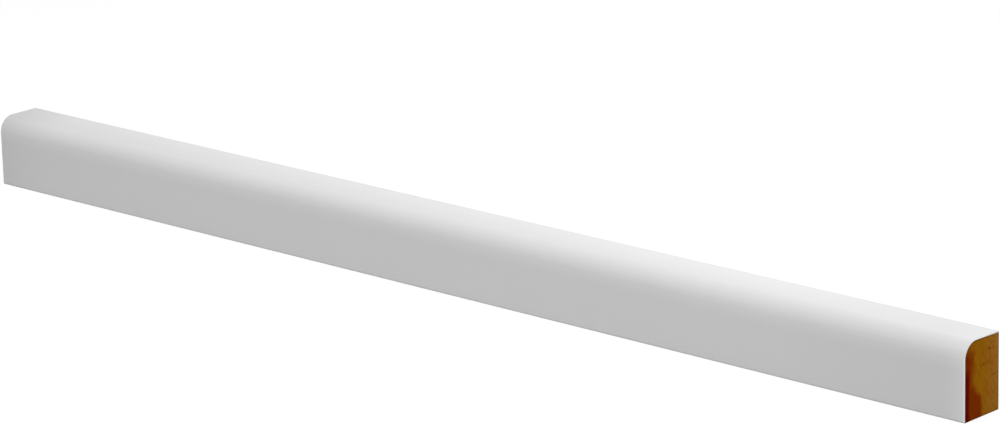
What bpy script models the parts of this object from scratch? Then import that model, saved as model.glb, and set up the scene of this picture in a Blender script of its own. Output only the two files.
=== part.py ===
"""A short straight length of primed MDF skirting board with a rounded top front edge.

Metres, +Z up. The board runs along X and stands on its foot. Its flat back, which goes to the
wall, faces +Y, and its finished front faces -Y. The origin is on the floor under its middle.
"""

import math

import bmesh
import bpy

# The board
LENGTH = 0.450
THICKNESS = 0.018
HEIGHT = 0.026

# The quarter round along the top front edge, and the sanded arrises along the other long edges
ROUND_RADIUS = 0.006
FOOT_ARRIS_RADIUS = 0.0005
BACK_ARRIS_RADIUS = 0.0003

# How finely the curves are drawn
ROUND_STEPS = 32
ARRIS_STEPS = 4

WELD_DISTANCE = 0.000001
SHARP_ANGLE = math.radians(30)

# A face turned this little towards the room, as a part of its unit normal, isn't turned at all
FACING_TOLERANCE = 0.001

# Finishes
PRIMER_COLOUR = (0.82, 0.82, 0.81, 1.0)
PRIMER_ROUGHNESS = 0.55
RAW_MDF_COLOUR = (0.27, 0.12, 0.022, 1.0)
RAW_MDF_ROUGHNESS = 0.9


def clear_scene():
    for obj in list(bpy.data.objects):
        bpy.data.objects.remove(obj, do_unlink=True)


def make_collection(name):
    collection = bpy.data.collections.new(name)
    bpy.context.scene.collection.children.link(collection)
    return collection


def make_material(name, colour, roughness):
    material = bpy.data.materials.new(name)
    material.use_nodes = True
    material.diffuse_color = colour
    shader = material.node_tree.nodes["Principled BSDF"]
    shader.inputs["Base Color"].default_value = colour
    shader.inputs["Roughness"].default_value = roughness
    shader.inputs["Metallic"].default_value = 0.0
    return material


def corner_arc(corner, inward, radius, steps, start_angle):
    """Points of a quarter circle that rounds a square corner of the section.

    corner is the sharp corner, inward holds the signs of the way from it into the section, and
    the arc turns clockwise from start_angle about its centre.
    """
    centre_depth = corner[0] + inward[0] * radius
    centre_height = corner[1] + inward[1] * radius
    points = []
    for step in range(steps + 1):
        angle = start_angle - math.radians(90) * step / steps
        depth = centre_depth + radius * math.cos(angle)
        height = centre_height + radius * math.sin(angle)
        points.append((depth, height))
    return points


def board_section():
    """The board's section as (depth, height), clockwise from the bottom of the front face."""
    front = -THICKNESS / 2
    back = THICKNESS / 2
    section = []
    section += corner_arc((front, 0.0), (1, 1), FOOT_ARRIS_RADIUS, ARRIS_STEPS, math.radians(270))
    section += corner_arc((front, HEIGHT), (1, -1), ROUND_RADIUS, ROUND_STEPS, math.radians(180))
    section += corner_arc((back, HEIGHT), (-1, -1), BACK_ARRIS_RADIUS, ARRIS_STEPS, math.radians(90))
    section += corner_arc((back, 0.0), (-1, 1), BACK_ARRIS_RADIUS, ARRIS_STEPS, 0.0)
    return section


def extrude_section(name, section, length, collection):
    """A curve object: the section filled and drawn out along X, half to each side of X = 0."""
    curve = bpy.data.curves.new(name, "CURVE")
    curve.dimensions = "2D"
    curve.fill_mode = "BOTH"
    curve.extrude = length / 2
    spline = curve.splines.new("POLY")
    spline.points.add(len(section) - 1)
    for point, (depth, height) in zip(spline.points, section):
        point.co = (depth, height, 0.0, 1.0)
    spline.use_cyclic_u = True
    obj = bpy.data.objects.new(name, curve)
    # The curve's own x, y and z become the board's depth, height and length
    obj.rotation_euler = (math.radians(90), 0.0, math.radians(90))
    collection.objects.link(obj)
    return obj


def curve_to_mesh(curve_obj, collection):
    """A welded mesh object in the curve's place. The curve is removed."""
    bpy.context.view_layer.update()
    evaluated = curve_obj.evaluated_get(bpy.context.evaluated_depsgraph_get())
    mesh = bpy.data.meshes.new_from_object(evaluated)
    name = curve_obj.name
    place = curve_obj.matrix_world.copy()
    bpy.data.objects.remove(curve_obj, do_unlink=True)

    solid = bmesh.new()
    solid.from_mesh(mesh)
    bmesh.ops.remove_doubles(solid, verts=solid.verts, dist=WELD_DISTANCE)
    bmesh.ops.recalc_face_normals(solid, faces=solid.faces)
    solid.to_mesh(mesh)
    solid.free()

    mesh.name = name
    obj = bpy.data.objects.new(name, mesh)
    obj.matrix_world = place
    collection.objects.link(obj)
    return obj


def finish_faces(obj, primer, raw_mdf):
    """Primer on what faces the room, to the front or up. The ends, the back and the foot are raw."""
    mesh = obj.data
    mesh.materials.clear()
    mesh.materials.append(primer)
    mesh.materials.append(raw_mdf)
    turn = obj.matrix_world.to_3x3()
    for face in mesh.polygons:
        normal = turn @ face.normal
        faces_room = normal.y < -FACING_TOLERANCE or normal.z > FACING_TOLERANCE
        face.material_index = 0 if faces_room else 1


def shade(obj):
    """Smooth across the small steps of the round, sharp at the square edges."""
    obj.data.shade_smooth()
    obj.data.set_sharp_from_angle(angle=SHARP_ANGLE)


def make_skirting_board(collection):
    primer = make_material("white_primer", PRIMER_COLOUR, PRIMER_ROUGHNESS)
    raw_mdf = make_material("raw_mdf", RAW_MDF_COLOUR, RAW_MDF_ROUGHNESS)
    profile = extrude_section("skirting_board", board_section(), LENGTH, collection)
    board = curve_to_mesh(profile, collection)
    finish_faces(board, primer, raw_mdf)
    shade(board)
    return board


clear_scene()
make_skirting_board(make_collection("skirting_board"))
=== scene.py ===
"""The looks of a short length of primed MDF skirting board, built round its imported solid.

Metres, in the solid's own frame: the board runs along X, its finished front faces -Y, its flat
back faces +Y, and it stands on the floor at Z = 0.
"""

import math

import bmesh
import bpy
from mathutils import Matrix, Vector, noise


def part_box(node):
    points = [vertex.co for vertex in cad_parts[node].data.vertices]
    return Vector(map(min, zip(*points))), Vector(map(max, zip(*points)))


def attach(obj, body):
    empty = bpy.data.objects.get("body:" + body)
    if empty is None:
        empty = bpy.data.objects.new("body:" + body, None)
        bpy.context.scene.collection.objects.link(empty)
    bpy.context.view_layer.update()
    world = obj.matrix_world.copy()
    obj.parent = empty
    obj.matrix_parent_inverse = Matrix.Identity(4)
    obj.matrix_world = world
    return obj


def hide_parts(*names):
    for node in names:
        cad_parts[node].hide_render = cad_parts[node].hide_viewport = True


MM = 0.001
RIGHT_ANGLE = math.radians(90)

# The board's form. Its outer sizes come from the frame.
BOARD_NODE = "skirting_board"
ROUND_RADIUS = 6.0 * MM
FOOT_ARRIS_RADIUS = 0.5 * MM
BACK_ARRIS_RADIUS = 0.3 * MM

# The primer coat. It feathers out round the foot arris, and it is cut off flush with the back.
COAT_THICKNESS_IN_FRONT = 0.5 * MM
COAT_THICKNESS_ON_TOP = 0.22 * MM
COAT_THICKNESS_AT_BACK = 0.55 * MM
COAT_FEATHER = 0.8 * MM

# The coat's sawn edge: the arris that the saw and handling leave, how much of the coat's thickness
# it takes at most, and the small chips in it
COAT_END_ARRIS = 0.22 * MM
COAT_END_ARRIS_SHARE = 0.8
COAT_END_STEPS = 3
COAT_CHIP_DEPTH = 0.14 * MM
COAT_CHIP_SIZE = 1.1 * MM
COAT_CHIP_FROM = 0.18
LEFT_CHIP_SEED = 31.0
RIGHT_CHIP_SEED = 47.0

# How finely the section is drawn, how long the body's segments are, and how wide a sawn end's rings
SECTION_STEP = 0.4 * MM
ARC_STEP = 0.25 * MM
BODY_STEP = 10.0 * MM
END_STEP = 0.35 * MM
SAME_PLACE = 0.001 * MM
SHARP_ANGLE = math.radians(40)

# The relief of a sawn end: how far the fibre stands back from the coat's edge, its fuzz, its pits
# and the saw's marks, and how near the edge they fade out
END_SETBACK = 0.03 * MM
END_FUZZ = 0.06 * MM
END_FUZZ_SIZE = 0.7 * MM
END_FUZZ_FALLOFF = 1.0
END_FUZZ_REFINEMENT = 2.1
END_FUZZ_LAYERS = 3
END_PIT = 0.18 * MM
END_PIT_SIZE = 1.3 * MM
END_PIT_FROM = 0.25
END_PIT_GAIN = 2.0
SAW_DEPTH = 0.018 * MM
SAW_PITCH = 1.1 * MM
SAW_RADIUS = 110.0 * MM
END_CALM_EDGE = 1.2 * MM
LEFT_END_SEED = 11.0
RIGHT_END_SEED = 23.0

# A shader's noise: its mean, how many layers it has, and how strong each finer layer is
NOISE_MEAN = 0.5
FEW_LAYERS = 1.0
SOME_LAYERS = 2.0
MANY_LAYERS = 3.0
SMOOTH_LAYERS = 0.4
EVEN_LAYERS = 0.5
FIBROUS_LAYERS = 0.55
ROUGH_LAYERS = 0.6
FUZZY_LAYERS = 0.65

# The inner part of a spot's radius in which the spot is whole
SPOT_CORE = 0.4

# The primer's finish
PRIMER_COLOUR = (0.82, 0.82, 0.82, 1.0)
PRIMER_THIN_COLOUR = (0.62, 0.55, 0.45, 1.0)
PRIMER_ROUGHNESS = 0.55
PRIMER_MOTTLE_SIZE = 18.0 * MM
PRIMER_STREAK_LENGTH = 70.0 * MM
PRIMER_STREAK_WIDTH = 0.9 * MM
PRIMER_PEEL_SIZE = 0.9 * MM
PRIMER_GRAIN_SIZE = 0.22 * MM
PRIMER_NIB_SPACING = 7.0 * MM
PRIMER_NIB_RADIUS = 0.16 * MM
PRIMER_NIB_SHARE = 0.35
PRIMER_PEEL_HEIGHT = 0.006 * MM
PRIMER_STREAK_HEIGHT = 0.004 * MM
PRIMER_GRAIN_HEIGHT = 0.0012 * MM
PRIMER_NIB_HEIGHT = 0.02 * MM
PRIMER_THIN_BELOW = 0.35 * MM

# How much each of these changes the primer's tone and its roughness
MOTTLE_TONE = 0.03
STREAK_TONE = 0.02
PEEL_TONE = 0.012
GRAIN_TONE = 0.02
NIB_TONE = -0.05
MOTTLE_ROUGHNESS = 0.12
STREAK_ROUGHNESS = 0.06
GRAIN_ROUGHNESS = 0.05

# Painted light and shade on the coat: slow changes of tone, paler where the round starts and ends,
# towards the foot and over the top, and duller towards the two ends
FRONT_TONE = 0.99
FOOT_TONE = 0.018
ROUND_TONE = 0.02
ROUND_FOOT_TONE = 0.035
ROUND_CREST_TONE = 0.03
TOP_TONE = 0.051
LEFT_END_TONE = -0.022
RIGHT_END_TONE = -0.06
RIGHT_END_TOP_TONE = -0.045
ROUND_FOOT_REACH = 4.0 * MM
ROUND_FOOT_RISE = 1.8 * MM
CREST_REACH = ROUND_RADIUS / 2
CREST_FADE_FROM = ROUND_RADIUS / 3
CREST_FADE_SHORT_OF_TOP = ROUND_RADIUS / 6
TOP_REACH = 9.0 * MM
LEFT_END_REACH = 100.0 * MM
RIGHT_END_REACH = 100.0 * MM

# A painted highlight: the face is paler again close to the right end's saw cut, most of all in a line at
# the very edge
CUT_EDGE_HIGHLIGHT = 0.065
CUT_EDGE_REACH = 8.0 * MM
CUT_EDGE_SHORT_OF_TOP = ROUND_RADIUS / 2
CUT_LINE_HIGHLIGHT = 0.08
CUT_LINE_REACH = 0.8 * MM

# The faint painted shade on the coat at the left end, most of it on the top and at the very edge
LEFT_END_SHADE_REACH = 30.0 * MM
LEFT_END_SHADE_IN_FRONT = 0.045
LEFT_END_SHADE_ON_TOP = 0.075
LEFT_END_SHADE_EDGE_REACH = 0.9 * MM
LEFT_END_SHADE_AT_EDGE = 0.12

# The fibreboard's colours on its sawn ends
FIBRE_GOLD = (0.335, 0.131, 0.0048, 1.0)
FIBRE_BACK = (0.352, 0.147, 0.019, 1.0)
FIBRE_RED = (0.222, 0.032, 0.0018, 1.0)
FIBRE_MAROON = (0.125, 0.0042, 0.0024, 1.0)
FIBRE_DARK = (0.10, 0.022, 0.002, 1.0)

# Where the sawn end is redder: a wide zone by the foot, a narrow one above it, and a dark strip
RED_WIDTH_LOW = 8.8 * MM
RED_WIDTH_HIGH = 4.3 * MM
RED_SOFTNESS_LOW = 1.3 * MM
RED_SOFTNESS_HIGH = 2.4 * MM
RED_LOW_TOP = 5.5 * MM
RED_HIGH_FOOT = 11.5 * MM
RED_WOBBLE_LOW = 3.6 * MM
RED_WOBBLE_HIGH = 6.5 * MM
RED_TOP = 26.0 * MM
RED_FADE = 6.0 * MM
MAROON_WIDTH = 2.2 * MM
MAROON_WOBBLE = 1.8 * MM
MAROON_SOFTNESS = 0.9 * MM
MAROON_TOP = 18.0 * MM
MAROON_FADE = 4.0 * MM
MAROON_SHARE_ABOVE = 0.3

# The sawn end's texture: lumps, fine fibre, slanted streaks that are a little ruddy, and dark specks
SAWN_LUMP_SIZE = 3.0 * MM
SAWN_LUMP_WARP = 0.4
SAWN_FINE_SIZE = 0.5 * MM
SAWN_STREAK_LENGTH = 4.0 * MM
SAWN_STREAK_WIDTH = 1.2 * MM
SAWN_STREAK_TURN = (math.radians(60), 0.0, RIGHT_ANGLE)
SAWN_LUMP_TONE = 0.12
SAWN_STREAK_TONE = 0.15
SAWN_FINE_TONE = 0.45
RUDDY_FROM = 0.55
RUDDY_FULL = 0.25
RUDDY_SHARE = 0.25
SAWN_FLECK_LENGTH = 1.1 * MM
SAWN_FLECK_WIDTH = 0.13 * MM
SAWN_PALE_TURNS = (math.radians(20), math.radians(80))
SAWN_DARK_TURNS = (math.radians(-50), math.radians(-12))
SAWN_FLECK_TONE = 0.4
SPECK_SPACING = 2.6 * MM
SPECK_RADIUS = 0.45 * MM
SPECK_STRETCH = 2.0
SPECK_SHARE = 0.6
SPECK_STRENGTH = 0.65
SPECK_BEND_SIZE = 0.5 * MM
SPECK_BEND_REACH = 0.9 * MM

# The dense skin just inside the board's outline, where it is coated and where it is bare
COATED_SKIN_WIDTH = 0.9 * MM
COATED_SKIN_DARKENING = 0.55
BARE_SKIN_WIDTH = 0.5 * MM
BARE_SKIN_DARKENING = 0.42

# Flecks of fibre, sawn or planed: where their noise starts and is full, and how far they bend
FLECK_FROM = 0.56
FLECK_FULL = 0.80
FLECK_BEND_SIZE = 2.5 * MM
FLECK_BEND_REACH = 2.4 * MM

# The fibreboard's planed back and foot: pale and dark flecks of fibre that lie every way, the
# planer's faint marks, and primer sprayed past the coat's edge
PLANED_COLOUR = (0.36, 0.185, 0.060, 1.0)
PLANED_DARK = (0.25, 0.115, 0.030, 1.0)
PLANED_PALE = (0.45, 0.26, 0.105, 1.0)
PLANED_FLECKS = (
    (math.radians(12), PLANED_PALE),
    (math.radians(-38), PLANED_DARK),
    (math.radians(71), PLANED_PALE),
    (math.radians(-77), PLANED_DARK),
)
PLANED_FLECK_LENGTH = 1.8 * MM
PLANED_FLECK_WIDTH = 0.16 * MM
PLANED_MOTTLE_SIZE = 12.0 * MM
PLANED_FINE_SIZE = 0.35 * MM
PLANE_MARK_LENGTH = 120.0 * MM
PLANE_MARK_WIDTH = 0.5 * MM
PLANED_MOTTLE_TONE = 0.2
PLANED_FINE_TONE = 0.3
PLANE_MARK_TONE = 0.10
OVERSPRAY_REACH = 1.3 * MM
OVERSPRAY_SHARE = 0.55

# How far in from an end's plane the fibre looks sawn, so that the walls of its pits do too
SAWN_LOOK_DEPTH = 0.5 * MM

# The fibre's surface, sawn or planed
FIBRE_ROUGHNESS = 0.88
FUZZ_ROUGHNESS = 0.16
FIBRE_GLOSS = 0.0
FUZZ_SIZE = 0.28 * MM
STRAND_LENGTH = 1.4 * MM
STRAND_WIDTH = 0.14 * MM
STRAND_TURN = (math.radians(35), math.radians(20), 0.0)
STRAND_SHARE = 0.6
PLANED_FUZZ_HEIGHT = 0.008 * MM
SAWN_FUZZ_HEIGHT = 0.043 * MM

# The camera, as the photograph's edges give it, with its sensor and lens in millimetres
CAMERA_AIM = Vector((0.0222, 0.0, 0.0297))
CAMERA_AZIMUTH = math.radians(42.95)
CAMERA_ELEVATION = math.radians(16.16)
CAMERA_ROLL = math.radians(-1.52)
CAMERA_DISTANCE = 1.4928
CAMERA_SENSOR = 36.0
CAMERA_LENS = 157.9
CAMERA_CLIP_START = 0.05
CAMERA_CLIP_END = 100.0

# The softboxes: each one's name, place, size and watts, and the point that all of them look at
SOFTBOXES = (
    ("softbox_above_front", (0.0, -0.55, 0.85), (1.2, 0.4), 3.65),
    ("softbox_front", (0.2, -1.0, 0.6), (1.0, 0.6), 0.8),
    ("softbox_behind", (0.1, 0.3, 0.3), (0.4, 0.15), 0.55),
    ("softbox_right", (1.2, 0.0, 0.4), (0.6, 0.6), 3.45),
)
SOFTBOX_AIM = Vector((0.05, 0.0, 0.0))

# The even light from all round, and the background's brightness in the picture
WORLD_AMBIENT = 0.40
BACKGROUND_STRENGTH = 1.0

# The floor: in the picture it is lit a little and glows the rest, and it bounces light as pale grey
FLOOR_SIZE = 60.0
FLOOR_SHOWN_DIFFUSE = 0.24
FLOOR_SHOWN_GLOW = 0.84
FLOOR_BOUNCE = 0.45

# A mix node names its number, vector and colour sockets alike, so they go by their places
MIX_SHARE = 0
MIX_FIRST_COLOUR = 6
MIX_SECOND_COLOUR = 7
MIX_COLOUR = 2


def make_object(name, data):
    obj = bpy.data.objects.new(name, data)
    bpy.context.scene.collection.objects.link(obj)
    return obj


# Shader nodes


def new_material(name):
    """A material with nothing but an output, as (material, tree, output)."""
    material = bpy.data.materials.new(name)
    material.use_nodes = True
    tree = material.node_tree
    tree.nodes.clear()
    output = tree.nodes.new("ShaderNodeOutputMaterial")
    return material, tree, output


def feed(tree, socket, value):
    """Give an input a value, or link another node's output to it."""
    if isinstance(value, bpy.types.NodeSocket):
        tree.links.new(value, socket)
    else:
        socket.default_value = value


def maths(tree, operation, first, second=0.0):
    node = tree.nodes.new("ShaderNodeMath")
    node.operation = operation
    feed(tree, node.inputs[0], first)
    feed(tree, node.inputs[1], second)
    return node.outputs[0]


def least(tree, *values):
    smallest = values[0]
    for value in values[1:]:
        smallest = maths(tree, "MINIMUM", smallest, value)
    return smallest


def object_place(tree):
    return tree.nodes.new("ShaderNodeTexCoord").outputs["Object"]


def place_parts(tree, place):
    """The place along the board, its depth and its height."""
    node = tree.nodes.new("ShaderNodeSeparateXYZ")
    feed(tree, node.inputs[0], place)
    return node.outputs[0], node.outputs[1], node.outputs[2]


def stretched(tree, place, sizes, turn=(0.0, 0.0, 0.0)):
    """The place turned, then counted in lengths of the given sizes, for grain that runs one way."""
    turned = tree.nodes.new("ShaderNodeMapping")
    feed(tree, turned.inputs["Vector"], place)
    turned.inputs["Rotation"].default_value = turn
    scaled = tree.nodes.new("ShaderNodeMapping")
    feed(tree, scaled.inputs["Vector"], turned.outputs[0])
    scaled.inputs["Scale"].default_value = tuple(1 / size for size in sizes)
    return scaled.outputs[0]


def bent(tree, place, size, reach):
    """The place led a little astray by noise, so that what is drawn in it bends."""
    wander = tree.nodes.new("ShaderNodeTexNoise")
    feed(tree, wander.inputs["Vector"], place)
    wander.inputs["Scale"].default_value = 1 / size
    centred = tree.nodes.new("ShaderNodeVectorMath")
    centred.operation = "SUBTRACT"
    feed(tree, centred.inputs[0], wander.outputs["Color"])
    centred.inputs[1].default_value = (NOISE_MEAN, NOISE_MEAN, NOISE_MEAN)
    moved = tree.nodes.new("ShaderNodeVectorMath")
    moved.operation = "MULTIPLY_ADD"
    feed(tree, moved.inputs[0], centred.outputs[0])
    moved.inputs[1].default_value = (reach, reach, reach)
    feed(tree, moved.inputs[2], place)
    return moved.outputs[0]


def between(tree, value, start, end):
    """0 at start and 1 at end, smoothly, and held beyond them. start may be the greater."""
    node = tree.nodes.new("ShaderNodeMapRange")
    node.interpolation_type = "SMOOTHSTEP"
    feed(tree, node.inputs["Value"], value)
    feed(tree, node.inputs["From Min"], start)
    feed(tree, node.inputs["From Max"], end)
    return node.outputs[0]


def zone(tree, distance, edge, softness):
    """1 where the distance is well under the edge, and 0 where it is well over."""
    zone_start = maths(tree, "ADD", edge, softness)
    zone_end = maths(tree, "SUBTRACT", edge, softness)
    return between(tree, distance, zone_start, zone_end)


def noise_value(tree, place, size, layers=SOME_LAYERS, strength=EVEN_LAYERS, warp=0.0):
    """Smooth noise from 0 to 1, with lumps of about the given size.

    Each finer layer has the given strength, as a share of the one before it.
    """
    node = tree.nodes.new("ShaderNodeTexNoise")
    feed(tree, node.inputs["Vector"], place)
    node.inputs["Scale"].default_value = 1 / size
    node.inputs["Detail"].default_value = layers
    node.inputs["Roughness"].default_value = strength
    node.inputs["Distortion"].default_value = warp
    return node.outputs["Fac"]


def fibres(tree, place, length, width, turn=(0.0, 0.0, 0.0)):
    """Noise stretched into fibres that all lie one way: along the board, until they are turned."""
    grain_place = stretched(tree, place, (length, width, width), turn)
    return noise_value(tree, grain_place, 1.0, MANY_LAYERS, FIBROUS_LAYERS)


def flecks(tree, place, length, width, turn):
    """1 in scattered fibres that lie one way, and 0 between them."""
    return between(tree, fibres(tree, place, length, width, turn), FLECK_FROM, FLECK_FULL)


def spots(tree, place, spacing, radius, share):
    """1 in scattered round spots, and 0 between them. share is the part of the cells with one."""
    cells = tree.nodes.new("ShaderNodeTexVoronoi")
    feed(tree, cells.inputs["Vector"], place)
    cells.inputs["Scale"].default_value = 1 / spacing
    near = between(tree, cells.outputs["Distance"], radius / spacing, SPOT_CORE * radius / spacing)
    chance, _, _ = place_parts(tree, cells.outputs["Color"])
    return maths(tree, "MULTIPLY", near, maths(tree, "LESS_THAN", chance, share))


def added(tree, start, *parts):
    """start, plus each part's value times its amount."""
    total = start
    for value, amount in parts:
        total = maths(tree, "ADD", total, maths(tree, "MULTIPLY", value, amount))
    return total


def scaled_between(tree, share, at_none, at_whole):
    """The value that goes from at_none to at_whole as the share goes from 0 to 1."""
    return added(tree, at_none, (share, at_whole - at_none))


def varied(tree, middle, *parts):
    """middle, plus each part's amount times what its noise has above or below its mean."""
    swings = [(maths(tree, "SUBTRACT", value, NOISE_MEAN), amount) for value, amount in parts]
    return added(tree, middle, *swings)


def blend(tree, share, first, second, mode="MIX"):
    node = tree.nodes.new("ShaderNodeMix")
    node.data_type = "RGBA"
    node.blend_type = mode
    feed(tree, node.inputs[MIX_SHARE], share)
    feed(tree, node.inputs[MIX_FIRST_COLOUR], first)
    feed(tree, node.inputs[MIX_SECOND_COLOUR], second)
    return node.outputs[MIX_COLOUR]


def shaded(tree, colour, tone):
    """The colour times a tone of about 1."""
    tones = tree.nodes.new("ShaderNodeCombineXYZ")
    for socket in tones.inputs:
        feed(tree, socket, tone)
    return blend(tree, 1.0, colour, tones.outputs[0], "MULTIPLY")


def relief(tree, height):
    """A bump from a height in metres."""
    node = tree.nodes.new("ShaderNodeBump")
    node.inputs["Strength"].default_value = 1.0
    node.inputs["Distance"].default_value = 1.0
    feed(tree, node.inputs["Height"], height)
    return node.outputs[0]


def shown_ray(tree):
    """1 for rays from the camera, and for the reflections and refractions that it sees."""
    path = tree.nodes.new("ShaderNodeLightPath")
    seen = maths(tree, "MAXIMUM", path.outputs["Is Camera Ray"], path.outputs["Is Glossy Ray"])
    return maths(tree, "MAXIMUM", seen, path.outputs["Is Transmission Ray"])


# Camera, lights and floor


def grey(level):
    return (level, level, level, 1.0)


def make_camera():
    camera = make_object("camera", bpy.data.cameras.new("camera"))
    camera.data.sensor_width = CAMERA_SENSOR
    camera.data.lens = CAMERA_LENS
    camera.data.clip_start = CAMERA_CLIP_START
    camera.data.clip_end = CAMERA_CLIP_END
    turn = Matrix.Rotation(CAMERA_AZIMUTH, 3, "Z")
    tilt = Matrix.Rotation(RIGHT_ANGLE - CAMERA_ELEVATION, 3, "X")
    roll = Matrix.Rotation(CAMERA_ROLL, 3, "Z")
    look = turn @ tilt @ roll
    back = look @ Vector((0.0, 0.0, 1.0))
    camera.matrix_world = Matrix.LocRotScale(CAMERA_AIM + back * CAMERA_DISTANCE, look, None)
    bpy.context.scene.camera = camera


def make_softbox(name, place, size, watts):
    light = bpy.data.lights.new(name, "AREA")
    light.shape = "RECTANGLE"
    light.size = size[0]
    light.size_y = size[1]
    light.energy = watts
    obj = make_object(name, light)
    obj.location = place
    obj.rotation_euler = (SOFTBOX_AIM - Vector(place)).to_track_quat("-Z", "Y").to_euler()
    obj.visible_camera = False


def make_lights():
    for name, place, size, watts in SOFTBOXES:
        make_softbox(name, place, size, watts)


def make_world():
    world = bpy.data.worlds.new("studio")
    world.use_nodes = True
    bpy.context.scene.world = world
    tree = world.node_tree
    tree.nodes.clear()
    ambient = tree.nodes.new("ShaderNodeBackground")
    ambient.inputs["Strength"].default_value = WORLD_AMBIENT
    shown = tree.nodes.new("ShaderNodeBackground")
    shown.inputs["Strength"].default_value = BACKGROUND_STRENGTH
    for background in (ambient, shown):
        background.inputs["Color"].default_value = grey(1.0)
    mix = tree.nodes.new("ShaderNodeMixShader")
    output = tree.nodes.new("ShaderNodeOutputWorld")
    tree.links.new(shown_ray(tree), mix.inputs["Fac"])
    tree.links.new(ambient.outputs[0], mix.inputs[1])
    tree.links.new(shown.outputs[0], mix.inputs[2])
    tree.links.new(mix.outputs[0], output.inputs["Surface"])


def floor_material():
    """White to the camera, with the board's shadow in it, and a plain pale floor to all other light."""
    material, tree, output = new_material("studio_floor")
    bounce = tree.nodes.new("ShaderNodeBsdfDiffuse")
    bounce.inputs["Color"].default_value = grey(FLOOR_BOUNCE)
    lit = tree.nodes.new("ShaderNodeBsdfDiffuse")
    lit.inputs["Color"].default_value = grey(FLOOR_SHOWN_DIFFUSE)
    glow = tree.nodes.new("ShaderNodeEmission")
    glow.inputs["Strength"].default_value = FLOOR_SHOWN_GLOW
    shown = tree.nodes.new("ShaderNodeAddShader")
    mix = tree.nodes.new("ShaderNodeMixShader")
    tree.links.new(lit.outputs[0], shown.inputs[0])
    tree.links.new(glow.outputs[0], shown.inputs[1])
    tree.links.new(shown_ray(tree), mix.inputs["Fac"])
    tree.links.new(bounce.outputs[0], mix.inputs[1])
    tree.links.new(shown.outputs[0], mix.inputs[2])
    tree.links.new(mix.outputs[0], output.inputs["Surface"])
    return material


def make_floor():
    mesh = bpy.data.meshes.new("floor")
    plane = bmesh.new()
    bmesh.ops.create_grid(plane, x_segments=1, y_segments=1, size=FLOOR_SIZE / 2)
    plane.to_mesh(mesh)
    plane.free()
    mesh.materials.append(floor_material())
    make_object("floor", mesh)


# The board's section, as points (depth, height) with the way out of the board at each

FORWARDS = Vector((-1.0, 0.0))
BACKWARDS = Vector((1.0, 0.0))
UPWARDS = Vector((0.0, 1.0))
DOWNWARDS = Vector((0.0, -1.0))


def line_points(start, end, outward):
    count = max(1, round((end - start).length / SECTION_STEP))
    return [(start.lerp(end, i / count), outward) for i in range(count + 1)]


def arc_points(centre, radius, from_angle, to_angle):
    count = max(2, round(radius * abs(to_angle - from_angle) / ARC_STEP))
    points = []
    for i in range(count + 1):
        angle = from_angle + (to_angle - from_angle) * i / count
        outward = Vector((math.cos(angle), math.sin(angle)))
        points.append((centre + radius * outward, outward))
    return points


def eased(share):
    """The share held from 0 to 1, with a soft start and end."""
    held = min(1.0, max(0.0, share))
    return held * held * (3 - 2 * held)


def without_repeats(points):
    kept = [points[0]]
    for point in points[1:]:
        if (point[0] - kept[-1][0]).length > SAME_PLACE:
            kept.append(point)
    return kept


def coated_path(box_low, box_high):
    """Round the outside of the coat, from the foot up the front, over the round and along the top."""
    front, back = box_low.y, box_high.y
    foot, top = box_low.z, box_high.z
    foot_centre = Vector((front + FOOT_ARRIS_RADIUS, foot + FOOT_ARRIS_RADIUS))
    round_centre = Vector((front + ROUND_RADIUS, top - ROUND_RADIUS))
    back_centre = Vector((back - BACK_ARRIS_RADIUS, top - BACK_ARRIS_RADIUS))
    path = arc_points(foot_centre, FOOT_ARRIS_RADIUS, 3 * RIGHT_ANGLE, 2 * RIGHT_ANGLE)
    path += line_points(Vector((front, foot_centre.y)), Vector((front, round_centre.y)), FORWARDS)
    path += arc_points(round_centre, ROUND_RADIUS, 2 * RIGHT_ANGLE, RIGHT_ANGLE)
    path += line_points(Vector((round_centre.x, top)), Vector((back_centre.x, top)), UPWARDS)
    path += arc_points(back_centre, BACK_ARRIS_RADIUS, RIGHT_ANGLE, 0.0)
    return without_repeats(path)


def coat_thicknesses(path, box_low, box_high):
    """The coat's thickness at each point: none at the foot, and thinner over the round and the top."""
    round_end = box_low.y + ROUND_RADIUS
    travelled = 0.0
    thicknesses = []
    last = path[0][0]
    for point, outward in path:
        travelled += (point - last).length
        last = point
        feather = eased(travelled / COAT_FEATHER)
        over_round = max(0.0, outward.y)
        towards_back = max(0.0, (point.x - round_end) / (box_high.y - round_end))
        full = COAT_THICKNESS_IN_FRONT
        full += (COAT_THICKNESS_ON_TOP - COAT_THICKNESS_IN_FRONT) * over_round
        full += (COAT_THICKNESS_AT_BACK - COAT_THICKNESS_ON_TOP) * eased(towards_back)
        thicknesses.append(full * feather)
    return thicknesses


def under_coat(path, thicknesses, box_high):
    """The coated path on the fibre under the coat. It ends square on the back."""
    back_start = box_high.y - BACK_ARRIS_RADIUS
    points = []
    for (point, outward), thickness in zip(path, thicknesses):
        if point.x < back_start:
            points.append((point - outward * thickness, outward))
    points.append((Vector((box_high.y, box_high.z - COAT_THICKNESS_AT_BACK)), UPWARDS))
    return points


def bare_path(box_low, box_high):
    """Down the flat back, round its foot arris and along the foot to where the coat starts."""
    front, back = box_low.y, box_high.y
    foot = box_low.z
    under_coat_at_back = Vector((back, box_high.z - COAT_THICKNESS_AT_BACK))
    foot_centre = Vector((back - BACK_ARRIS_RADIUS, foot + BACK_ARRIS_RADIUS))
    coat_start = Vector((front + FOOT_ARRIS_RADIUS, foot))
    path = line_points(under_coat_at_back, Vector((back, foot_centre.y)), BACKWARDS)
    path += arc_points(foot_centre, BACK_ARRIS_RADIUS, 0.0, -RIGHT_ANGLE)
    path += line_points(Vector((foot_centre.x, foot)), coat_start, DOWNWARDS)
    return without_repeats(path)


# The meshes


def lengthwise_places(low_x, high_x):
    count = round((high_x - low_x) / BODY_STEP)
    return [low_x + (high_x - low_x) * i / count for i in range(count + 1)]


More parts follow.
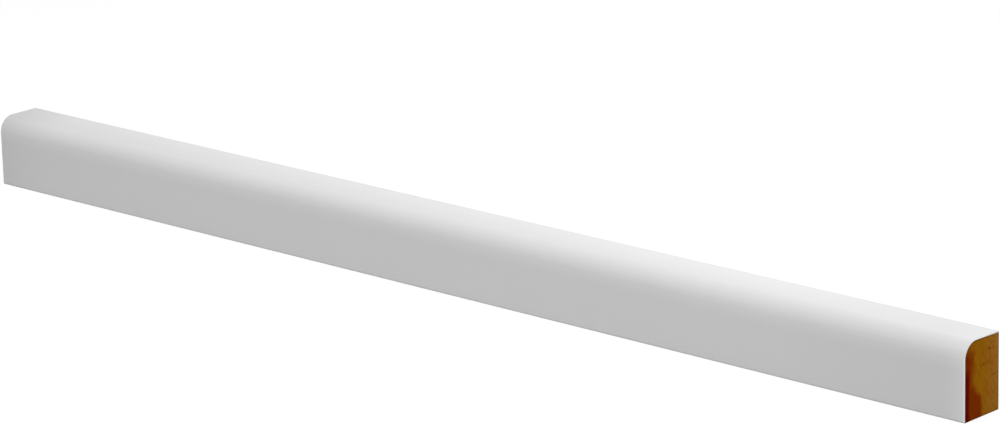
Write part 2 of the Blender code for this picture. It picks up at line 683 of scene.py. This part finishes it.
def add_ring(mesh, points, x):
    return [mesh.verts.new((x, point.x, point.y)) for point in points]


def join_rings(mesh, first, second):
    count = len(first)
    for i in range(count):
        j = (i + 1) % count
        mesh.faces.new((first[i], first[j], second[j], second[i]))


def join_all(mesh, rings):
    for first, second in zip(rings, rings[1:]):
        join_rings(mesh, first, second)


def finish_mesh(mesh, name, material):
    bmesh.ops.recalc_face_normals(mesh, faces=mesh.faces)
    data = bpy.data.meshes.new(name)
    mesh.to_mesh(data)
    mesh.free()
    data.materials.append(material)
    data.shade_smooth()
    data.set_sharp_from_angle(angle=SHARP_ANGLE)
    return make_object(name, data)


def as_share(wave):
    """A wave between -1 and 1 as a share between 0 and 1."""
    return (1 + wave) / 2


def end_relief(depth, height, from_edge, seed):
    """How far a point of a sawn end stands back, in metres."""
    calm = min(1.0, from_edge / END_CALM_EDGE)
    fuzz_place = Vector((depth / END_FUZZ_SIZE, height / END_FUZZ_SIZE, seed))
    fuzz_wave = noise.fractal(fuzz_place, END_FUZZ_FALLOFF, END_FUZZ_REFINEMENT, END_FUZZ_LAYERS)
    pit_place = Vector((depth / END_PIT_SIZE, height / END_PIT_SIZE, seed))
    pit = END_PIT_GAIN * max(0.0, noise.noise(pit_place) - END_PIT_FROM)
    blade = math.hypot(depth + SAW_RADIUS, height)
    saw_wave = math.sin(2 * math.pi * blade / SAW_PITCH)
    marks = END_FUZZ * as_share(fuzz_wave) + END_PIT * pit + SAW_DEPTH * as_share(saw_wave)
    return END_SETBACK + calm * marks


def close_core_end(mesh, ring, outline, x, inward, seed):
    """Rings that shrink to the middle of a sawn end, each point set back by the relief."""
    centre = sum(outline, Vector((0.0, 0.0))) / len(outline)
    reach = max((point - centre).length for point in outline)
    count = round(reach / END_STEP)
    for step in range(1, count):
        share = 1 - step / count
        inner = []
        for point in outline:
            place = centre + (point - centre) * share
            from_edge = (point - place).length
            set_back = end_relief(place.x, place.y, from_edge, seed)
            inner.append(mesh.verts.new((x + inward * set_back, place.x, place.y)))
        join_rings(mesh, ring, inner)
        ring = inner
    set_back = end_relief(centre.x, centre.y, reach, seed)
    middle = mesh.verts.new((x + inward * set_back, centre.x, centre.y))
    for i, vert in enumerate(ring):
        mesh.faces.new((vert, ring[(i + 1) % len(ring)], middle))


def make_core(box_low, box_high, material):
    """The fibreboard itself: what lies under the coat, and the bare back, foot and sawn ends."""
    path = coated_path(box_low, box_high)
    under = under_coat(path, coat_thicknesses(path, box_low, box_high), box_high)
    outline = [point for point, _ in without_repeats(under + bare_path(box_low, box_high))]
    if (outline[0] - outline[-1]).length < SAME_PLACE:
        outline.pop()
    places = lengthwise_places(box_low.x, box_high.x)
    places[0] += END_SETBACK
    places[-1] -= END_SETBACK
    mesh = bmesh.new()
    rings = [add_ring(mesh, outline, x) for x in places]
    join_all(mesh, rings)
    close_core_end(mesh, rings[0], outline, box_low.x, inward=1, seed=LEFT_END_SEED)
    close_core_end(mesh, rings[-1], outline, box_high.x, inward=-1, seed=RIGHT_END_SEED)
    return finish_mesh(mesh, "mdf_core", material)


def coat_end_rings(mesh, path, thicknesses, inner, x, inward, seed):
    """Rings from a sawn end inwards, over the coat's worn outer edge."""
    rings = []
    for step in range(COAT_END_STEPS + 1):
        angle = RIGHT_ANGLE * step / COAT_END_STEPS
        inner_back = COAT_END_ARRIS * (1 - math.cos(angle))
        ring = []
        for (point, outward), thickness in zip(path, thicknesses):
            chip_place = Vector((point.x / COAT_CHIP_SIZE, point.y / COAT_CHIP_SIZE, seed))
            chip = max(0.0, noise.noise(chip_place) - COAT_CHIP_FROM) * COAT_CHIP_DEPTH
            arris = min(COAT_END_ARRIS, COAT_END_ARRIS_SHARE * thickness)
            inset = arris * (1 - math.sin(angle))
            outer_back = inner_back + chip * math.cos(angle)
            place = point - outward * inset
            ring.append(mesh.verts.new((x + inward * outer_back, place.x, place.y)))
        ring += add_ring(mesh, inner, x + inward * inner_back)
        rings.append(ring)
    return rings


def close_coat_end(mesh, ring, outer_count):
    """The coat's cut edge, a strip between its outer and its inner line."""
    outer = ring[:outer_count]
    inner = ring[outer_count:][::-1]
    mesh.faces.new((outer[0], outer[1], inner[0]))
    i = 1
    j = 0
    while i < len(outer) - 1 or j < len(inner) - 1:
        outer_next = j == len(inner) - 1 or (
            i < len(outer) - 1
            and (outer[i + 1].co - inner[j].co).length < (outer[i].co - inner[j + 1].co).length
        )
        if outer_next:
            mesh.faces.new((outer[i], outer[i + 1], inner[j]))
            i += 1
        else:
            mesh.faces.new((outer[i], inner[j + 1], inner[j]))
            j += 1


def make_coat(box_low, box_high, material):
    """The primer coat: a thin closed skin over the front, the round and the top."""
    path = coated_path(box_low, box_high)
    thicknesses = coat_thicknesses(path, box_low, box_high)
    under = under_coat(path, thicknesses, box_high)
    inner = [point for point, _ in under[:0:-1]]
    outline = [point for point, _ in path] + inner
    mesh = bmesh.new()
    rings = coat_end_rings(mesh, path, thicknesses, inner, box_low.x, 1, LEFT_CHIP_SEED)
    for x in lengthwise_places(box_low.x, box_high.x)[1:-1]:
        rings.append(add_ring(mesh, outline, x))
    rings += coat_end_rings(mesh, path, thicknesses, inner, box_high.x, -1, RIGHT_CHIP_SEED)[::-1]
    join_all(mesh, rings)
    close_coat_end(mesh, rings[0], len(path))
    close_coat_end(mesh, rings[-1], len(path))
    return finish_mesh(mesh, "primer_coat", material)


# The finishes


def painted_shading_tone(tree, place, box_low, box_high):
    """Painted light and shade on the coat: slow changes of tone over the section and along the board,
    about 1.
    """
    along, depth, height = place_parts(tree, place)
    round_foot = box_high.z - ROUND_RADIUS
    round_head = box_low.y + ROUND_RADIUS
    below_round = between(tree, height, round_foot, box_low.z)
    up_to_round = between(tree, height, round_foot - ROUND_FOOT_REACH, round_foot)
    past_round_foot = between(tree, height, round_foot + ROUND_FOOT_RISE, round_foot)
    onto_crest = between(tree, depth, round_head, round_head - CREST_REACH)
    crest_fade_end = box_high.z - CREST_FADE_SHORT_OF_TOP
    off_crest = between(tree, height, round_foot + CREST_FADE_FROM, crest_fade_end)
    onto_top = between(tree, depth, round_head, round_head + TOP_REACH)
    to_right_end = between(tree, along, box_high.x - RIGHT_END_REACH, box_high.x)
    return added(
        tree,
        FRONT_TONE,
        (below_round, FOOT_TONE),
        (up_to_round, ROUND_TONE),
        (least(tree, up_to_round, past_round_foot), ROUND_FOOT_TONE),
        (least(tree, onto_crest, off_crest), ROUND_CREST_TONE),
        (onto_top, TOP_TONE),
        (between(tree, along, box_low.x + LEFT_END_REACH, box_low.x), LEFT_END_TONE),
        (to_right_end, RIGHT_END_TONE),
        (maths(tree, "MULTIPLY", to_right_end, onto_top), RIGHT_END_TOP_TONE),
    )


def cut_edge_painted_highlight(tree, place, box_high):
    """How much the painted highlight makes the face paler by the right end's saw cut."""
    along, _, height = place_parts(tree, place)
    on_face = between(tree, height, box_high.z - CUT_EDGE_SHORT_OF_TOP, box_high.z - ROUND_RADIUS)
    near_edge = between(tree, along, box_high.x - CUT_EDGE_REACH, box_high.x)
    at_edge = between(tree, along, box_high.x - CUT_LINE_REACH, box_high.x)
    amount = added(tree, 0.0, (near_edge, CUT_EDGE_HIGHLIGHT), (at_edge, CUT_LINE_HIGHLIGHT))
    return maths(tree, "MULTIPLY", on_face, amount)


def left_end_painted_shade(tree, place, box_low, box_high):
    """How much the painted shade darkens the coat near the left end."""
    along, _, height = place_parts(tree, place)
    near_end = between(tree, along, box_low.x + LEFT_END_SHADE_REACH, box_low.x)
    on_top = between(tree, height, box_high.z - ROUND_RADIUS, box_high.z)
    at_edge = between(tree, along, box_low.x + LEFT_END_SHADE_EDGE_REACH, box_low.x)
    amount = added(tree, LEFT_END_SHADE_IN_FRONT, (on_top, LEFT_END_SHADE_ON_TOP), (at_edge, LEFT_END_SHADE_AT_EDGE))
    return maths(tree, "MULTIPLY", near_end, amount)


def primer_material(box_low, box_high):
    """White primer: an even, dull coat with roller peel, faint lines along the board and a few nibs."""
    material, tree, output = new_material("white_primer")
    place = object_place(tree)
    _, _, height = place_parts(tree, place)
    streak_sizes = (PRIMER_STREAK_LENGTH, PRIMER_STREAK_WIDTH, PRIMER_STREAK_WIDTH)
    streak_place = stretched(tree, place, streak_sizes)
    mottle = noise_value(tree, place, PRIMER_MOTTLE_SIZE, MANY_LAYERS)
    streaks = noise_value(tree, streak_place, 1.0, MANY_LAYERS, ROUGH_LAYERS)
    peel = noise_value(tree, place, PRIMER_PEEL_SIZE, SOME_LAYERS, SMOOTH_LAYERS)
    grain = noise_value(tree, place, PRIMER_GRAIN_SIZE, FEW_LAYERS)
    nibs = spots(tree, place, PRIMER_NIB_SPACING, PRIMER_NIB_RADIUS, PRIMER_NIB_SHARE)

    # The tone carries painted light and shade over the section and towards the ends, as well as the
    # coat's own mottle
    tone = varied(
        tree,
        painted_shading_tone(tree, place, box_low, box_high),
        (mottle, MOTTLE_TONE),
        (streaks, STREAK_TONE),
        (peel, PEEL_TONE),
        (grain, GRAIN_TONE),
    )
    # Painted shade that darkens the coat near the left end, most of all on the top and at the very edge
    left_end_shade = left_end_painted_shade(tree, place, box_low, box_high)
    # A painted highlight that makes the face paler by the right end's saw cut
    cut_edge_highlight = cut_edge_painted_highlight(tree, place, box_high)
    tone = added(tree, tone, (nibs, NIB_TONE), (left_end_shade, -1.0), (cut_edge_highlight, 1.0))
    thin_below = varied(tree, box_low.z + PRIMER_THIN_BELOW, (peel, PRIMER_THIN_BELOW))
    thin = between(tree, height, thin_below, box_low.z)
    colour = blend(tree, thin, PRIMER_COLOUR, PRIMER_THIN_COLOUR)

    roughness = varied(
        tree,
        PRIMER_ROUGHNESS,
        (mottle, MOTTLE_ROUGHNESS),
        (streaks, STREAK_ROUGHNESS),
        (grain, GRAIN_ROUGHNESS),
    )
    bumps = added(
        tree,
        0.0,
        (peel, PRIMER_PEEL_HEIGHT),
        (streaks, PRIMER_STREAK_HEIGHT),
        (grain, PRIMER_GRAIN_HEIGHT),
        (nibs, PRIMER_NIB_HEIGHT),
    )

    shader = tree.nodes.new("ShaderNodeBsdfPrincipled")
    feed(tree, shader.inputs["Base Color"], shaded(tree, colour, tone))
    feed(tree, shader.inputs["Roughness"], roughness)
    feed(tree, shader.inputs["Normal"], relief(tree, bumps))
    tree.links.new(shader.outputs[0], output.inputs["Surface"])
    return material


def depth_under_coat(tree, depth, height, box_low, box_high):
    """How far below the coat a place on the sawn end is, in metres."""
    past_round = maths(tree, "SUBTRACT", box_low.y + ROUND_RADIUS, depth)
    above_round = maths(tree, "SUBTRACT", height, box_high.z - ROUND_RADIUS)
    corner = tree.nodes.new("ShaderNodeCombineXYZ")
    feed(tree, corner.inputs[0], maths(tree, "MAXIMUM", past_round, 0.0))
    feed(tree, corner.inputs[1], maths(tree, "MAXIMUM", above_round, 0.0))
    from_centre = tree.nodes.new("ShaderNodeVectorMath")
    from_centre.operation = "LENGTH"
    feed(tree, from_centre.inputs[0], corner.outputs[0])
    beside = least(tree, maths(tree, "MAXIMUM", past_round, above_round), 0.0)
    outward = maths(tree, "ADD", from_centre.outputs["Value"], beside)
    return maths(tree, "SUBTRACT", ROUND_RADIUS - COAT_THICKNESS_ON_TOP, outward)


def skin_darkening(tree, depth, height, box_low, box_high):
    """How much the dense skin darkens the sawn end just inside the board's outline."""
    under_coat_depth = depth_under_coat(tree, depth, height, box_low, box_high)
    coated = between(tree, under_coat_depth, COATED_SKIN_WIDTH, 0.0)
    in_back = maths(tree, "SUBTRACT", box_high.y, depth)
    in_foot = maths(tree, "SUBTRACT", height, box_low.z)
    bare = between(tree, least(tree, in_back, in_foot), BARE_SKIN_WIDTH, 0.0)
    coated_share = maths(tree, "MULTIPLY", coated, COATED_SKIN_DARKENING)
    bare_share = maths(tree, "MULTIPLY", bare, BARE_SKIN_DARKENING)
    return maths(tree, "MAXIMUM", coated_share, bare_share)


def sawn_colour(tree, place, box_low, box_high):
    """The sawn end: golden fibre, redder to the front and the foot, with a maroon strip at the front."""
    _, depth, height = place_parts(tree, place)
    lumps = noise_value(tree, place, SAWN_LUMP_SIZE, MANY_LAYERS, FIBROUS_LAYERS, SAWN_LUMP_WARP)
    fine = noise_value(tree, place, SAWN_FINE_SIZE, MANY_LAYERS, ROUGH_LAYERS)
    slanted = fibres(tree, place, SAWN_STREAK_LENGTH, SAWN_STREAK_WIDTH, SAWN_STREAK_TURN)
    in_front = maths(tree, "SUBTRACT", depth, box_low.y + COAT_THICKNESS_IN_FRONT)
    foot = box_low.z

    colour = blend(tree, between(tree, depth, 0.0, box_high.y), FIBRE_GOLD, FIBRE_BACK)
    ruddy = maths(tree, "MULTIPLY", between(tree, slanted, RUDDY_FROM, RUDDY_FULL), RUDDY_SHARE)
    colour = blend(tree, ruddy, colour, FIBRE_RED)

    low = between(tree, height, foot + RED_HIGH_FOOT, foot + RED_LOW_TOP)
    width = scaled_between(tree, low, RED_WIDTH_HIGH, RED_WIDTH_LOW)
    wobble = scaled_between(tree, low, RED_WOBBLE_HIGH, RED_WOBBLE_LOW)
    softness = scaled_between(tree, low, RED_SOFTNESS_HIGH, RED_SOFTNESS_LOW)
    red = zone(tree, in_front, varied(tree, width, (lumps, wobble)), softness)
    under_round = between(tree, height, foot + RED_TOP, foot + RED_TOP - RED_FADE)
    colour = blend(tree, maths(tree, "MULTIPLY", red, under_round), colour, FIBRE_RED)

    strip = zone(tree, in_front, varied(tree, MAROON_WIDTH, (lumps, MAROON_WOBBLE)), MAROON_SOFTNESS)
    strip_low = between(tree, height, foot + MAROON_TOP, foot + MAROON_TOP - MAROON_FADE)
    strip_share = scaled_between(tree, strip_low, MAROON_SHARE_ABOVE, 1.0)
    colour = blend(tree, maths(tree, "MULTIPLY", strip, strip_share), colour, FIBRE_MAROON)

    ragged_place = bent(tree, place, SPECK_BEND_SIZE, SPECK_BEND_REACH)
    speck_place = stretched(tree, ragged_place, (1.0, SPECK_STRETCH, 1.0))
    specks = spots(tree, speck_place, SPECK_SPACING, SPECK_RADIUS, SPECK_SHARE)
    colour = blend(tree, maths(tree, "MULTIPLY", specks, SPECK_STRENGTH), colour, FIBRE_DARK)
    tone = varied(tree, 1.0, (lumps, SAWN_LUMP_TONE), (slanted, SAWN_STREAK_TONE), (fine, SAWN_FINE_TONE))
    bent_place = bent(tree, place, FLECK_BEND_SIZE, FLECK_BEND_REACH)
    for turns, fleck_tone in ((SAWN_PALE_TURNS, SAWN_FLECK_TONE), (SAWN_DARK_TURNS, -SAWN_FLECK_TONE)):
        for turn in turns:
            whole_turn = (turn, 0.0, RIGHT_ANGLE)
            lie = flecks(tree, bent_place, SAWN_FLECK_LENGTH, SAWN_FLECK_WIDTH, whole_turn)
            tone = added(tree, tone, (lie, fleck_tone))
    darkening = skin_darkening(tree, depth, height, box_low, box_high)
    return shaded(tree, colour, maths(tree, "SUBTRACT", tone, darkening))


def planed_colour(tree, place, box_low, box_high):
    """The planed back and foot: even tan fibre with flecks, and a trace of primer along the coat."""
    _, depth, height = place_parts(tree, place)
    mottle = noise_value(tree, place, PLANED_MOTTLE_SIZE, MANY_LAYERS)
    fine = noise_value(tree, place, PLANED_FINE_SIZE, MANY_LAYERS, ROUGH_LAYERS)
    plane_marks = fibres(tree, place, PLANE_MARK_LENGTH, PLANE_MARK_WIDTH)
    bent_place = bent(tree, place, FLECK_BEND_SIZE, FLECK_BEND_REACH)
    colour = PLANED_COLOUR
    for turn, fleck_colour in PLANED_FLECKS:
        lie = flecks(tree, bent_place, PLANED_FLECK_LENGTH, PLANED_FLECK_WIDTH, (0.0, turn, 0.0))
        colour = blend(tree, lie, colour, fleck_colour)
    tone = varied(
        tree,
        1.0,
        (mottle, PLANED_MOTTLE_TONE),
        (fine, PLANED_FINE_TONE),
        (plane_marks, PLANE_MARK_TONE),
    )
    colour = shaded(tree, colour, tone)

    below_coat = maths(tree, "SUBTRACT", box_high.z - COAT_THICKNESS_AT_BACK, height)
    behind_coat = maths(tree, "SUBTRACT", depth, box_low.y + FOOT_ARRIS_RADIUS)
    on_foot = between(tree, height, box_low.z + BACK_ARRIS_RADIUS, box_low.z)
    spray_reach = varied(tree, OVERSPRAY_REACH, (fine, OVERSPRAY_REACH), (mottle, OVERSPRAY_REACH))
    top_spray = between(tree, below_coat, spray_reach, 0.0)
    foot_spray = maths(tree, "MULTIPLY", between(tree, behind_coat, spray_reach, 0.0), on_foot)
    spray = maths(tree, "MAXIMUM", top_spray, foot_spray)
    return blend(tree, maths(tree, "MULTIPLY", spray, OVERSPRAY_SHARE), colour, PRIMER_COLOUR)


def raw_mdf_material(box_low, box_high):
    """Bare fibreboard, sawn across at the ends and planed along the back and the foot."""
    material, tree, output = new_material("raw_mdf")
    place = object_place(tree)
    along, _, _ = place_parts(tree, place)
    from_middle = maths(tree, "ABSOLUTE", maths(tree, "SUBTRACT", along, (box_low.x + box_high.x) / 2))
    sawn_from = (box_high.x - box_low.x) / 2 - SAWN_LOOK_DEPTH
    sawn = between(tree, from_middle, sawn_from - END_SETBACK, sawn_from + END_SETBACK)

    fuzz = noise_value(tree, place, FUZZ_SIZE, MANY_LAYERS, FUZZY_LAYERS)
    strands = fibres(tree, place, STRAND_LENGTH, STRAND_WIDTH, STRAND_TURN)
    colour = blend(
        tree,
        sawn,
        planed_colour(tree, place, box_low, box_high),
        sawn_colour(tree, place, box_low, box_high),
    )
    fuzz_height = scaled_between(tree, sawn, PLANED_FUZZ_HEIGHT, SAWN_FUZZ_HEIGHT)
    bumps = maths(tree, "MULTIPLY", varied(tree, 0.0, (fuzz, 1.0), (strands, STRAND_SHARE)), fuzz_height)

    shader = tree.nodes.new("ShaderNodeBsdfPrincipled")
    feed(tree, shader.inputs["Base Color"], colour)
    feed(tree, shader.inputs["Roughness"], varied(tree, FIBRE_ROUGHNESS, (fuzz, FUZZ_ROUGHNESS)))
    shader.inputs["Specular IOR Level"].default_value = FIBRE_GLOSS
    feed(tree, shader.inputs["Normal"], relief(tree, bumps))
    tree.links.new(shader.outputs[0], output.inputs["Surface"])
    return material


def make_board():
    box_low, box_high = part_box(BOARD_NODE)
    core = make_core(box_low, box_high, raw_mdf_material(box_low, box_high))
    coat = make_coat(box_low, box_high, primer_material(box_low, box_high))
    for piece in (core, coat):
        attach(piece, "root")
    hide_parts(BOARD_NODE)


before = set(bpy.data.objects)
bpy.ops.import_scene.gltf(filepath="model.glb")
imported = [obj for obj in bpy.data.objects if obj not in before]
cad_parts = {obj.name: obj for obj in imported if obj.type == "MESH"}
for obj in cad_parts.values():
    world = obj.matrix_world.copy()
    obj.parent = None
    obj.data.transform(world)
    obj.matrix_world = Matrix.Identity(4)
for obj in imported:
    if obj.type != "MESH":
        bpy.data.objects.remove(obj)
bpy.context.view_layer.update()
bpy.context.scene.view_settings.view_transform = "Standard"
make_camera()
make_world()
make_lights()
make_floor()
make_board()
